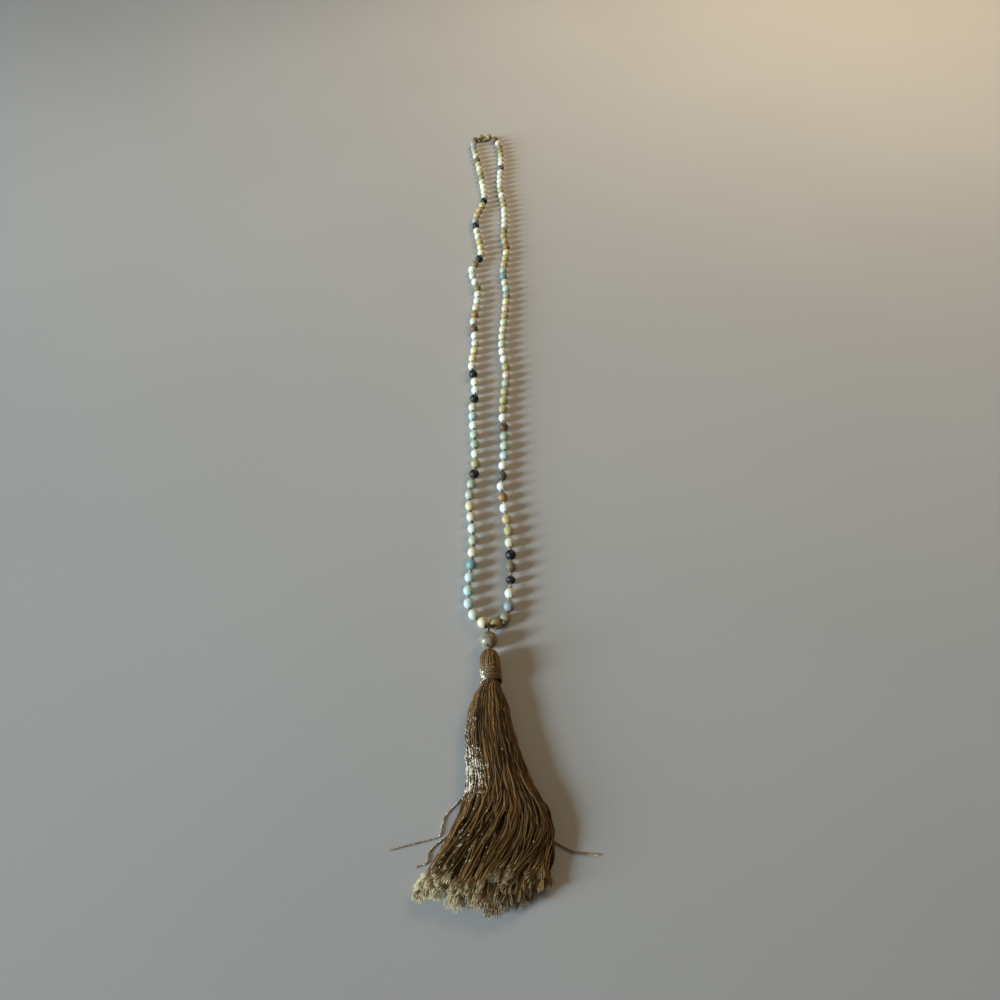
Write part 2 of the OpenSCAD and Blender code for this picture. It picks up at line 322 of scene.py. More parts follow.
def fleck_mask(m, along, around, fleck_mm):
    """One where a short metal fleck lies, more of them where the thread's glint is high, and how bright
    each fleck is."""
    cell = m.add("ShaderNodeCombineXYZ")
    m.join(m.math("FLOOR", m.math("DIVIDE", along, fleck_mm)), cell.inputs[0])
    m.join(m.math("FLOOR", m.math("MULTIPLY", around, 6)), cell.inputs[1])
    m.join(m.math("MULTIPLY", m.attribute("number"), 7.31), cell.inputs[2])
    chance = m.add("ShaderNodeTexWhiteNoise", noise_dimensions="3D")
    m.join(cell.outputs[0], chance.inputs["Vector"])
    most = m.math("MULTIPLY", m.attribute("glint"), m.spread(m.noise(420, 2), 0.35, 0.62, 0.15, 1.5))
    return m.math("LESS_THAN", chance.outputs["Value"], most), m.math("DIVIDE", chance.outputs["Value"], most)


def fibre_material():
    """Untwisted fibres of a frayed tip: pale gold where they spread, with a few bright specks."""
    m = Nodes("frayed_fibres")
    along, around = uv_parts(m)
    body = m.mix(m.attribute("tone"), paint("#34210d"), paint("#8d6430"))
    body = m.mix(m.attribute("tip"), body, paint("#d9c594"))
    # The specks are metal fibres whose bright colour is a painted glint.
    flecks, shine = fleck_mask(m, along, around, 1.2)
    metal = m.mix(shine, paint("#cbb98a"), paint("#f3f1e6"))
    m.join(m.mix(flecks, body, metal), m.shader.inputs["Base Color"])
    m.join(m.spread(m.noise(600, 2), 0.3, 0.7, 0.45, 0.6), m.shader.inputs["Roughness"])
    m.bump(m.noise(900, 2), 0.2, 0.0001)
    return m.material


def core_material():
    """Painted shade: a dark stand-in for the shaded threads deep inside the tassel."""
    m = Nodes("shaded_threads")
    lines = m.noise(500, 3)
    body = m.mix(m.spread(lines, 0.35, 0.65), paint("#1a110a"), paint("#33230f"))
    m.join(body, m.shader.inputs["Base Color"])
    m.join(m.spread(lines, 0.3, 0.7, 0.6, 0.8), m.shader.inputs["Roughness"])
    m.shader.inputs["Specular IOR Level"].default_value = 0.1
    m.bump(lines, 0.6, 0.0004)
    return m.material


def floor_material():
    """Plain pale surface with the faintest of clouds."""
    m = Nodes("pale_surface")
    clouds = m.noise(2.2, 2)
    body = m.mix(m.spread(clouds, 0.3, 0.7), paint("#a7a5a3"), paint("#aeacaa"))
    m.join(body, m.shader.inputs["Base Color"])
    m.join(m.spread(m.noise(900, 2), 0.3, 0.7, 0.75, 0.85), m.shader.inputs["Roughness"])
    m.bump(m.noise(700, 3), 0.12, 0.0003)
    return m.material


# Meshes

def piece(name, points, faces, material):
    """Mesh object from an array of points in metres, which rides on the one body."""
    mesh = bpy.data.meshes.new(name)
    mesh.from_pydata(points, [], faces)
    mesh.materials.append(material)
    mesh.polygons.foreach_set("use_smooth", [True] * len(mesh.polygons))
    mesh.update()
    made = bpy.data.objects.new(name, mesh)
    bpy.context.scene.collection.objects.link(made)
    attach(made, "root")
    return made


def give(made, name, values):
    """A number for each point of a piece."""
    layer = made.data.attributes.new(name, "FLOAT", "POINT")
    layer.data.foreach_set("value", np.ascontiguousarray(values, dtype=np.float32).ravel())


def give_colour(made, name, values):
    """A colour for each point of a piece."""
    layer = made.data.attributes.new(name, "FLOAT_COLOR", "POINT")
    layer.data.foreach_set("color", np.ascontiguousarray(values, dtype=np.float32).ravel())


def ring_faces(rings, sides, closed=False):
    """Faces between rings of points that follow each other, and from the last to the first if closed."""
    ring, k = np.meshgrid(np.arange(rings if closed else rings - 1), np.arange(sides), indexing="ij")
    after, following = (ring + 1) % rings, (k + 1) % sides
    return np.stack(
        [ring * sides + k, after * sides + k, after * sides + following, ring * sides + following], -1
    ).reshape(-1, 4)


def sweep(paths, radii, sides, up, closed=False):
    """Tubes along many paths of equal length. paths is (tubes, points, 3) and radii (tubes, points), in
    millimetres, and up gives a way that the paths don't run in. Returns points, faces and a map of the
    thread: millimetres along it and share of a turn around it."""
    tubes, count = paths.shape[:2]
    if closed:
        way = np.roll(paths, -1, 1) - np.roll(paths, 1, 1)
    else:
        way = np.gradient(paths, axis=1)
    way = unit(way)
    side = unit(np.cross(way, np.broadcast_to(up, paths.shape)))
    top = np.cross(side, way)
    turn = np.arange(sides) * FULL_TURN / sides
    rings = (
        paths[:, :, None]
        + radii[:, :, None, None] * np.cos(turn)[None, None, :, None] * side[:, :, None]
        + radii[:, :, None, None] * np.sin(turn)[None, None, :, None] * top[:, :, None]
    )
    tube, ring, k = np.meshgrid(
        np.arange(tubes), np.arange(count if closed else count - 1), np.arange(sides), indexing="ij"
    )
    first_of_tube = np.arange(tubes)[:, None, None] * count * sides
    faces = (first_of_tube + ring_faces(count, sides, closed)).reshape(-1, 4).tolist()
    steps = np.linalg.norm(np.diff(paths, axis=1), axis=2)
    run = np.concatenate([np.zeros((tubes, 1)), np.cumsum(steps, 1)], 1)
    last = run[tube, np.minimum(ring + 1, count - 1)]
    first_u, last_u = run[tube, ring], np.where(ring + 1 == count, run[tube, ring] + 1, last)
    u = np.stack([first_u, last_u, last_u, first_u], -1)
    v = np.stack([k, k, k + 1, k + 1], -1) / sides
    spin = np.stack([u, v], -1).reshape(-1, 2)
    if not closed:
        for end, order in ((0, 1), (count - 1, -1)):
            first = np.arange(tubes)[:, None] * count * sides + end * sides
            caps = first + np.arange(sides)[None, ::order]
            faces += caps.tolist()
            spin = np.concatenate([spin, np.zeros((tubes * sides, 2))])
    return rings.reshape(-1, 3) * MM, faces, spin


def tubes_piece(name, paths, radii, sides, up, material, facts, closed=False):
    """Piece of many tubes. facts gives tone, glint, tip and number, and the painted shade of deep threads
    where it isn't zero, for each tube or for each of its points."""
    points, faces, spin = sweep(paths, radii, sides, up, closed)
    made = piece(name, points, faces, material)
    layer = made.data.uv_layers.new(name="spin")
    layer.data.foreach_set("uv", spin.astype(np.float32).ravel())
    for key, values in {"depth_shade": np.zeros(len(paths)), **facts}.items():
        values = np.asarray(values, float)
        if values.ndim == 1:
            values = values[:, None]
        give(made, key, np.broadcast_to(values[:, :, None], (*paths.shape[:2], sides)))
    return made


# Beads

def solids_of(node):
    """Corners of the triangles of each separate solid of a CAD node, in millimetres."""
    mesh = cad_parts[node].data
    places = np.empty(len(mesh.vertices) * 3)
    mesh.vertices.foreach_get("co", places)
    places = places.reshape(-1, 3) / MM
    mesh.calc_loop_triangles()
    triangles = np.empty(len(mesh.loop_triangles) * 3, np.int32)
    mesh.loop_triangles.foreach_get("vertices", triangles)
    kept, same = np.unique(np.round(places * 1e4).astype(np.int64), axis=0, return_inverse=True)
    triangles = same.reshape(-1)[triangles].reshape(-1, 3)
    label = np.arange(len(kept))
    while True:
        spread = label.copy()
        low = label[triangles].min(axis=1)
        for corner in range(3):
            np.minimum.at(spread, triangles[:, corner], low)
        spread = spread[spread]
        if (spread == label).all():
            break
        label = spread
    places = kept / 1e4
    owner = label[triangles[:, 0]]
    return [places[triangles[owner == one]] for one in np.unique(owner)]


def bead_facts(corners):
    """Middle of a drilled ball, the way of its bore and its radius, from the corners of its triangles."""
    middle = (corners.min((0, 1)) + corners.max((0, 1))) / 2
    cross = np.cross(corners[:, 1] - corners[:, 0], corners[:, 2] - corners[:, 0])
    area = np.linalg.norm(cross, axis=1)
    normal = unit(cross)
    outward = (normal * (corners.mean(1) - middle)).sum(1)
    radius = np.linalg.norm(corners - middle, axis=2).max()
    inside = outward < radius / 3
    spread = (normal[inside].T * area[inside]) @ normal[inside]
    return middle, np.linalg.eigh(spread)[1][:, 0], radius


def strand(node, start):
    """Middle, way of the bore and radius of each bead of a strand, in order from the bead nearest to start.
    Each way points on along the strand."""
    left = [bead_facts(corners) for corners in solids_of(node)]
    order, at = [], np.array(start)
    while left:
        nearest = min(range(len(left)), key=lambda k: np.linalg.norm(left[k][0] - at))
        middle, way, radius = left.pop(nearest)
        if way @ (middle - at) < 0:
            way = -way
        order.append((middle, way, radius))
        at = middle
    # The point start may lie beyond the first bead, so the second one sets the first one's way
    middle, way, radius = order[0]
    if way @ (order[1][0] - middle) < 0:
        order[0] = (middle, -way, radius)
    return order


def lathed_bead(middle, way, radius, bore, rings, sides, rng, unevenness, flat=1.0):
    """Drilled bead: a slightly uneven ball with eased mouths and the wall of its bore."""
    mouth = math.asin(bore / radius)
    polar = np.linspace(mouth, math.pi - mouth, rings)
    profile = [(radius * math.sin(a), radius * math.cos(a)) for a in polar]
    eased = radius * math.cos(mouth)
    lip, wall = bore * 1.12, bore * 0.85
    profile[0] = (lip, eased * 0.985)
    profile[-1] = (lip, -eased * 0.985)
    profile += [(wall, -eased * 0.93), (wall, 0), (wall, eased * 0.93)]
    profile = np.array(profile)
    side = unit(np.cross(way, [0.3, 0.2, 1]))
    other = np.cross(way, side)
    turn = np.arange(sides) * FULL_TURN / sides
    points = (
        profile[:, None, 0:1] * (np.cos(turn)[:, None] * side + np.sin(turn)[:, None] * other)[None]
        + profile[:, None, 1:2] * way * flat
    )
    waves = rng.normal(0, 0.45, (3, 3))
    phase = rng.uniform(0, FULL_TURN, 3)
    dent = sum(np.sin(points @ waves[k] + phase[k]) for k in range(3)) / 3
    points *= (1 + unevenness * dent)[..., None]
    points = points.reshape(-1, 3) + middle
    points[:, 2] -= max(points[:, 2].min() - (middle[2] - radius), 0)
    return points, ring_faces(len(profile), sides, closed=True)


def bead_piece(name, node, beads, stones, material, seed):
    """All beads of one strand, each with the colours of its own stone."""
    rng = np.random.default_rng(seed)
    points, faces, stone, cloud, clouds = [], [], [], [], []
    start = 0
    for k, (middle, way, radius) in enumerate(beads):
        kind = stones[k % len(stones)]
        size = radius * rng.uniform(0.985, 1.01)
        flat = 1.0
        if kind == "d" and k == FLAT_BEAD:
            size, flat = radius * FLAT_BEAD_SIZE, FLAT_BEAD_LENGTH
        p, f = lathed_bead(middle, way, size, BORE_R, 16, 28, rng, 0.012, flat)
        points.append(p)
        faces.append(f + start)
        start += len(p)
        shade = rng.uniform(0.9, 1.07)
        warm = rng.uniform(-0.03, 0.03)
        tint = np.array([shade + warm, shade, shade - warm, 1])
        main, second, amount = STONES[kind]
        stone.append(np.tile(np.array(paint(main)) * tint, (len(p), 1)))
        cloud.append(np.tile(np.array(paint(second)) * tint, (len(p), 1)))
        clouds.append(np.full(len(p), amount))
    made = piece(name, np.concatenate(points) * MM, np.concatenate(faces).tolist(), material)
    give_colour(made, "stone", np.clip(np.concatenate(stone), 0, 1))
    give_colour(made, "cloud", np.clip(np.concatenate(cloud), 0, 1))
    give(made, "clouds", np.concatenate(clouds))
    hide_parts(node)
    return made


def large_bead(material):
    """Large mottled bead above the tassel, with its bore tilted as the solid's is."""
    middle, _, radius = bead_facts(solids_of("guru_bead")[0])
    middle = middle + [0, 0, LARGE_BEAD_EXTRA * radius]
    radius = (1 + LARGE_BEAD_EXTRA) * radius
    way = np.array([0, math.cos(GURU_TILT), -math.sin(GURU_TILT)])
    rng = np.random.default_rng(7)
    points, faces = lathed_bead(middle, way, radius, LARGE_BORE_R, 40, 56, rng, 0.006)
    made = piece("large_stone_bead", points * MM, faces.tolist(), material)
    # Partly the stone's own colour and partly painted shade: pale on the side towards the window, turning
    # brown on the side away from it.
    away_from_window = (points[:, 0] - middle[0]) / radius + 0.25 * (points[:, 1] - middle[1]) / radius
    side = smooth(-0.2, 0.8, away_from_window)
    pale, brown = np.array(paint("#8b8674")), np.array(paint("#80602c"))
    give_colour(made, "stone", pale + (brown - pale) * side[:, None])
    give_colour(made, "cloud", np.tile(np.array(paint("#665a3c")), (len(points), 1)))
    give(made, "clouds", np.full(len(points), 0.85))
    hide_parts("guru_bead")
    return made


# Knotted thread

def knot_paths(middles, ways, sizes, rng):
    """Closed trefoil path of a knot at each middle, turned at random about its way, and the way outward
    from the knot's middle at each point."""
    t = np.linspace(0, FULL_TURN, 48, endpoint=False)
    parts = [np.sin(t) + 2 * np.sin(2 * t), np.cos(t) - 2 * np.cos(2 * t), -1.5 * np.sin(3 * t)]
    plain = np.stack(parts, 1) / 3
    paths = []
    for middle, way, size in zip(middles, ways, sizes):
        side = unit(np.cross(way, unit(rng.normal(0, 1, 3))))
        other = np.cross(way, side)
        paths.append(middle + size * (plain[:, 0:1] * side + plain[:, 1:2] * other + plain[:, 2:3] * way))
    paths = np.array(paths)
    return paths, paths - np.array(middles)[:, None]


def knot_places(beads):
    """Place and way of the knot between each bead and the next, the middle of the gap with how far the knot
    is pushed off it, and whether the beads lie so close that the knot is a tight one."""
    places, ways, pushed, tight = [], [], [], []
    for (a, way_a, radius), (b, way_b, _) in zip(beads, beads[1:]):
        span = np.linalg.norm(b - a)
        middle = (a + way_a * span / 2 + b - way_b * span / 2) / 2
        way = unit(b - a)
        close = span / 2 < radius + CLOSE_GAP
        reach = radius + TIGHT_KNOT_REACH
        push = math.sqrt(max(reach * reach - span * span / 4, 0)) if close else 0
        outward = np.array([-way[1], way[0], 0])
        outward *= -1 if outward[1] > 0 else 1
        places.append(middle + push * (PUSH_OUT * outward + [0, 0, PUSH_UP]))
        ways.append(way)
        pushed.append((middle, push))
        tight.append(close)
    return places, ways, pushed, tight


def bridge(a, b, count):
    """Even points on the straight line from a to b."""
    return a + (b - a) * np.linspace(0, 1, count)[:, None]


def thread_facts(tone, glint):
    """Facts of threads that differ in nothing but their tone and number."""
    count = len(tone)
    return {"tone": tone, "glint": np.full(count, glint), "tip": np.zeros(count), "number": np.arange(count)}


def knotted_thread(left, right, material, dark_material):
    """Knots and thread of the strands, and the dark cluster and stem above the large bead."""
    rng = np.random.default_rng(3)
    first = (left[0][0] + right[0][0]) / 2
    knots_and_thread(left, right, material, rng)
    cluster = knot_cluster(first, left[0][2], dark_material, rng)
    doubled_stem(first, cluster, dark_material)


def knots_and_thread(left, right, material, rng):
    """The knot in each gap, and the thread through all beads."""
    places, ways, pushed, tight = knot_places(left)
    places_right, ways_right, pushed_right, tight_right = knot_places(right)
    far_a, far_b = left[-1], right[-1]
    places += places_right + [(far_a[0] + far_b[0]) / 2]
    ways += ways_right + [unit(far_b[0] - far_a[0])]
    pushed += pushed_right
    tight = np.array(tight + tight_right + [False])
    sizes, radii = (np.where(tight, small, plain) for small, plain in zip(TIGHT_KNOT, PLAIN_KNOT))
    paths, outward = knot_paths(places, ways, sizes, rng)
    tone = rng.uniform(0.0, 0.5, len(paths))
    tone[len(left) - 1:] += 0.35
    knots = tubes_piece(
        "knots_between_beads", paths, np.broadcast_to(radii[:, None], paths.shape[:2]), 7, outward,
        material, thread_facts(tone, 0.16), closed=True,
    )
    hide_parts("knotted_thread")

    loop = [*left, *right[::-1]]
    runs = []
    for (a, way, _), (b, _, _) in zip(loop, loop[1:]):
        span = np.linalg.norm(b - a)
        runs.append(bridge(a + way * span * 0.1 * np.sign(way @ (b - a)), b, 8))
    runs += [bridge(middle, place, 8) for (middle, push), place in zip(pushed, places) if push > 0]
    runs.append(bridge(left[0][0], right[0][0], 8))
    runs = np.array(runs)
    thread = tubes_piece(
        "thread_through_beads", runs, np.full(runs.shape[:2], THREAD_D / 2), 8, [0.1, 0.2, 1],
        material, thread_facts(rng.uniform(0.3, 0.8, len(runs)), 0.05),
    )


def large_bead_radius():
    low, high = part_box("guru_bead")
    return (high[2] - low[2]) / 2 / MM


def knot_cluster(first, bead_radius, material, rng):
    """Three dark knots side by side above the large bead. Returns the place of the middle one."""
    guru = box_middle("guru_bead")
    between = (first[1] + guru[1] + large_bead_radius()) / 2 - 0.2
    cluster = np.array([guru[0], between, bead_radius * CLUSTER_LIFT + CLUSTER_D / 2])
    spots = [cluster + [k * CLUSTER_D * CLUSTER_SPACING, 0, 0] for k in (-1, 0, 1)]
    size, radius = CLUSTER_KNOT
    paths, outward = knot_paths(spots, [np.array([1, 0, 0])] * 3, [size] * 3, rng)
    made = tubes_piece(
        "knot_cluster", paths, np.full(paths.shape[:2], radius), 8, outward,
        material, thread_facts([0.3, 0.9, 0.4], 0.02), closed=True,
    )
    return cluster


def doubled_stem(first, cluster, material):
    """Two plies from the loop through the cluster and the large bead into the head, golden below the bead."""
    guru = box_middle("guru_bead")
    radius = large_bead_radius()
    way = np.array([0, math.cos(GURU_TILT), -math.sin(GURU_TILT)])
    mouth = guru + way * (radius + STEM_D / 2 + 0.3)
    foot = guru - way * radius
    into_head = HEAD_START + 3
    hold = guru + [math.sin(TASSEL_TURN) * into_head, -math.cos(TASSEL_TURN) * into_head, 0]
    hold[2] = AXIS_Z
    corners = [first + [0, -0.6, 0], cluster, mouth, foot, hold]
    path = np.concatenate([bridge(a, b, 7)[:-1] for a, b in zip(corners, corners[1:])] + [[hold]])
    for _ in range(2):
        path[1:-1] = (path[:-2] + 2 * path[1:-1] + path[2:]) / 4
    turn = np.arange(len(path)) * 1.1
    across = np.array([1.0, 0, 0])
    rise = unit(np.cross(np.gradient(path, axis=0), across))
    plies = [
        path + STEM_D / 4 * (np.cos(turn + start)[:, None] * across + np.sin(turn + start)[:, None] * rise)
        for start in (0, math.pi)
    ]
    plies = np.array(plies)
    golden = smooth(guru[1], guru[1] - radius, plies[..., 1])
    stem = tubes_piece(
        "doubled_stem", plies, np.full(plies.shape[:2], STEM_D / 4), 8, [1, 0.1, 0.1],
        material, {**thread_facts([0.4, 0.7], 0.03), "tip": golden},
    )


# Tassel

def to_world(points):
    """From the tassel's own place, with -Y towards the tips, to the object's, in millimetres."""
    guru = box_middle("guru_bead")
    c, s = math.cos(TASSEL_TURN), math.sin(TASSEL_TURN)
    x, y, z = np.moveaxis(np.asarray(points, float), -1, 0)
    return np.stack([guru[0] + c * x - s * y, guru[1] + s * x + c * y, z], -1)


def ways_to_world(ways):
    """As to_world, for ways and not for places."""
    return to_world(ways) - to_world(np.zeros(3))


def skirt_values(t):
    """Middle, half width and height of the skirt at share t of its length."""
    columns = [np.interp(t, SKIRT_ROWS[:, 0], SKIRT_ROWS[:, k]) for k in (1, 2, 3)]
    spread = np.interp(t, [0.5, 0.75], SIDE_SPREAD)
    return columns[0] * SKIRT_HALF_W, columns[1] * SKIRT_HALF_W * spread, columns[2] * SKIRT_H


def skirt_place(t, across, depth):
    """Place on the skirt at share t of its length. across runs from -1 to 1 over the top and on to the
    underside beyond, and depth is the way under the skin."""
    middle, half, height = skirt_values(t)
    neck = 1 - smooth(-0.012, 0.02, t)
    beyond = np.maximum(np.abs(across) - 1, 0)
    w = np.sign(across) * np.minimum(np.abs(across), 1 - 1.5 * beyond)
    rise = (1 - np.abs(w) ** SECTION_POWER) ** (1 / SECTION_POWER)
    low = height * WIDEST_SHARE
    z = np.where(beyond > 0, low - (low - depth) * rise, low + (height - low - depth) * rise)
    x = middle + (half - 0.6 * depth) * w
    round_angle = across * math.pi / 2
    radius = NECK_D / 2 - 0.45 - depth * 0.5
    x = x * (1 - neck) + neck * radius * np.sin(round_angle)
    z = z * (1 - neck) + neck * (AXIS_Z + radius * np.cos(round_angle))
    y = np.broadcast_to(-SKIRT_START - t * SKIRT_LEN, x.shape)
    return np.stack([x, y, z], -1)


def end_share(across, stagger):
    """Share of the length at which a thread ends: both edges stop short of the middle."""
    f = (np.clip(across, -1, 1) + 1) / 2
    short = f / 0.72 - 1
    return 0.965 - 0.08 * short * short - 0.045 * smooth(0.75, 1, f) - stagger


def swept(across, t, amount):
    """Way across after the sweep to the left, which is widest in the middle and starts later at the right."""
    own = np.clip(across, -1, 1) - 0.1
    share = np.where(own < 0, 1 - (own / 1.1) ** 2, 1 - 0.5 * (own / 0.9) ** 2)
    begin = 0.45 + 0.2 * np.maximum(across, 0)
    return across - amount * share * smooth(0, 1, (t - begin) / 0.4)


def layer(seed, count, low, high, depth, amount, shorter, uneven, locks, clump):
    """Threads of one layer of the skirt, from low to high across it, gathered into locks. amount is their
    sweep to the left, shorter and uneven how far they stop short, and clump how far they close up into
    locks. Returns their paths and own places, the share of the length, the painted shade of threads that lie
    deep at each point, and the random numbers to go on with."""
    rng = np.random.default_rng(seed)
    own = np.linspace(low, high, count) + rng.uniform(-0.5, 0.5, count) * (high - low) / count
    moved = rng.uniform(-0.3, 0.3, locks - 1) * (high - low) / locks
    edges = np.sort(np.linspace(low, high, locks + 1)[1:-1] + moved)
    group = np.searchsorted(edges, own)
    lock_low = np.concatenate([[low], edges])[group]
    lock_high = np.concatenate([edges, [high]])[group]
    lock_middle = (lock_low + lock_high) / 2
    from_middle = (own - lock_middle) / (lock_high - lock_low) * 2
    lock_stagger = rng.uniform(0, uneven, locks)[group]
    lock_depth = rng.uniform(0, 1.2, locks)[group]
    lock_amount = rng.uniform(0.85, 1.12, locks)[group]
    wave = rng.uniform(0, FULL_TURN, (2, locks))[:, group]
    ends_at = swept(own, np.full(count, 0.95), amount)
    stagger = lock_stagger + rng.uniform(-0.01, 0.02, count)
    stagger = stagger + shorter * (0.25 + 0.75 * smooth(-1, 0.3, ends_at))
    end = end_share(ends_at, stagger)
    t = np.linspace(0, 1, THREAD_STEPS)[None] * (end[:, None] + 0.05) - 0.05
    low_down = smooth(0.85, 1, t / t[:, -1:])
    pull = clump * smooth(0.3, 0.75, t) * (1 - 0.5 * low_down)
    across = own[:, None] + (lock_middle - own)[:, None] * pull
    across = across + 0.04 * smooth(0.1, 0.5, t) * np.sin(9 * t + wave[0][:, None])
    phase = rng.uniform(0, FULL_TURN, (4, count))[:, :, None]
    size = rng.uniform(0.4, 1.6, (2, count))[:, :, None]
    astray = rng.uniform(0, 1, count)[:, None] < 0.05
    size[0] = np.where(astray, 3.6, size[0])
    across = across + 0.018 * size[0] * smooth(0.02, 0.3, t) * np.sin(17 * t + phase[0])
    across = across + 0.008 * size[1] * smooth(0.02, 0.3, t) * np.sin(41 * t + phase[1])
    across = swept(across, t, (amount * lock_amount)[:, None])
    within = rng.uniform(0, 1.2, count)[:, None]
    within = within + 0.5 * np.sin(13 * t + phase[2]) + 0.2 * np.sin(31 * t + phase[3])
    within = np.where(astray, 0, np.maximum(within, 0))
    sink = depth + (0.5 + 0.5 * smooth(0.05, 0.4, t)) * within
    sink = sink + smooth(0.35, 0.7, t) * lock_depth[:, None]
    sink = sink + 1.3 * smooth(0.3, 0.7, t) * from_middle[:, None] ** 2
    path = skirt_place(t, across, sink)
    crimp = rng.uniform(7, 13, count)[:, None]
    crimped = np.sin(2 * math.pi * t * SKIRT_LEN / crimp + phase[1])
    path[..., 0] += smooth(0.01, 0.08, t) * 0.2 * size[1] * crimped
    path[..., 2] = np.maximum(path[..., 2], 0.4)
    # Painted shade: a thread deeper than its neighbours, or far under the skin, is drawn darker, less so near
    # its end.
    deeper = sink - mean_beside(sink, own, 4)
    depth_shade = np.maximum(smooth(-0.12, 0.28, deeper), smooth(1.2, 3.6, sink)) * (1 - 0.7 * low_down)
    return path, own, t, depth_shade, rng


def mean_beside(values, own, reach):
    """Mean of the values of the threads that lie beside each one, up to reach of them on each side."""
    order = np.argsort(own)
    padded = np.pad(values[order], ((reach, reach), (0, 0)), mode="edge")
    mean = np.empty_like(values)
    mean[order] = sum(padded[k:k + len(values)] for k in range(2 * reach + 1)) / (2 * reach + 1)
    return mean


def skirt_layers(material):
    """The three layers of threads. Returns the ends of each one, with their ways and tones."""
    tips = []
    # The values that layer() takes, in its order, from the seed to how far the threads close up
    plan = {
        "skirt_lower_threads": (11, 124, -1.42, 1.42, 0.6, 0.12, 0.0, 0.06, 17, 0.32),
        "skirt_middle_threads": (12, 100, -1.0, 1.02, 1.3, 0.36, 0.03, 0.06, 14, 0.4),
        "skirt_upper_threads": (13, 130, -1.0, 1.0, 0.3, 0.56, 0.085, 0.035, 15, 0.42),
    }
    for name, values in plan.items():
        path, own, t, depth_shade, rng = layer(*values)
        count = len(path)
        tone = rng.uniform(0.25, 1, count)
        tone = np.where(rng.uniform(0, 1, count) < 0.34, 0.2 * tone, tone)
        tone = (tone[:, None] + 0.15 * np.sin(8 * t + own[:, None] * 5)).clip(0, 1)
        # Painted highlight: on the left flank, where the window's light falls, threads get many bright flecks
        # and a darker tone beneath them; low on the left a few more flecks.
        inner_edge = -0.66 + 0.22 * smooth(0.2, 0.45, t)
        past_edge = smooth(inner_edge - 0.22, inner_edge + 0.18, own[:, None])
        flank = smooth(-1.2, -1.0, own)[:, None] * (1 - past_edge)
        glint_patch = (0.25 * smooth(0.1, 0.25, t) + 0.75 * smooth(0.25, 0.42, t)) * (1 - smooth(0.49, 0.57, t))
        glint = 0.002 + 0.85 * flank * glint_patch * rng.uniform(0.3, 1, count)[:, None]
        tone = tone * (1 - 0.45 * flank * glint_patch)
        glint = glint + 0.06 * smooth(0.58, 0.75, t) * (1 - smooth(-0.3, 0.2, own))[:, None]
        radius = np.full(path.shape[:2], SKIRT_THREAD_R) * (1 - 0.15 * (1 - smooth(0, 0.15, t)))
        tip = 0.5 * smooth(0.95, 1.0, t / t[:, -1:])
        made = tubes_piece(
            name, to_world(path), radius, 6, [0, 0, 1], material,
            {"tone": tone, "glint": glint, "tip": tip, "number": np.arange(count), "depth_shade": depth_shade},
        )
        if name == "skirt_upper_threads":
            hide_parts("tassel")
        tips.append((path[:, -1], unit(path[:, -1] - path[:, -4]), tone[:, -1]))
    return tips


def frayed_tips(tips, material):
    """Fibres that spread into a flat fan where each thread of the skirt ends."""
    rng = np.random.default_rng(21)
    end, way, tone = (np.concatenate([t[k] for t in tips]) for k in range(3))
    threads = len(end)
    count = threads * FIBRES_AT_END
    size = rng.uniform(4.4, 8, threads)
    width = rng.uniform(0.24, 0.56, threads)
    roll = rng.normal(0, 0.35, threads)
    bend = rng.normal(0, 0.12, threads)
    lift = rng.normal(0.02, 0.12, threads)
    end, way, tone, size, width, roll, bend, lift = (
        np.repeat(v, FIBRES_AT_END, 0) for v in (end, way, tone, size, width, roll, bend, lift)
    )
    place = np.tile(np.linspace(-1, 1, FIBRES_AT_END), threads) + rng.normal(0, 0.12, count)
    side = unit(np.stack([way[:, 1], -way[:, 0], np.zeros(count)], 1))
    side = side * np.cos(roll)[:, None] + np.array([0, 0, 1]) * np.sin(roll)[:, None]
    start = end + side * (0.3 * place)[:, None] + rng.uniform(-0.1, 0.1, (count, 3)) - way * 1.2
    forward = unit(way * [1, 1, 0.4] + np.array([0, 0, 1]) * lift[:, None])
    length = size * rng.uniform(0.8, 1.05, count) * (1 - 0.16 * place ** 2)
    share = np.linspace(0, 1, 4)
    angle = (width * place)[:, None] * smooth(-0.3, 0.7, share) + bend[:, None] * share
    step = forward[:, None] * np.cos(angle)[..., None] + side[:, None] * np.sin(angle)[..., None]
    step[:, 0] = 0
    step = (length / (len(share) - 1))[:, None, None] * step
    path = start[:, None] + np.cumsum(step, 1)
    path[..., 2] = np.maximum(path[..., 2], FIBRE_R)
    radius = np.broadcast_to(FIBRE_R * (1 - 0.3 * share), path.shape[:2])
    # More bright specks towards the left, the side that faces the window, are a painted highlight; the fibres
    # there are paler too.
    pale = 1 - smooth(-34, 6, end[:, 0])
    fibre_tone = (0.2 + 0.6 * tone + rng.normal(0, 0.12, count)).clip(0, 1)
    paleness = (0.1 + 0.75 * pale[:, None]) * share * rng.uniform(0.5, 1, (count, 1))
    made = tubes_piece(
        "frayed_tips", to_world(path), radius, 3, [0.05, 0.05, 1], material,
        {"tone": fibre_tone, "glint": 0.004 + 0.12 * pale, "tip": (0.08 * share + paleness).clip(0, 1),
         "number": np.arange(count)},
    )


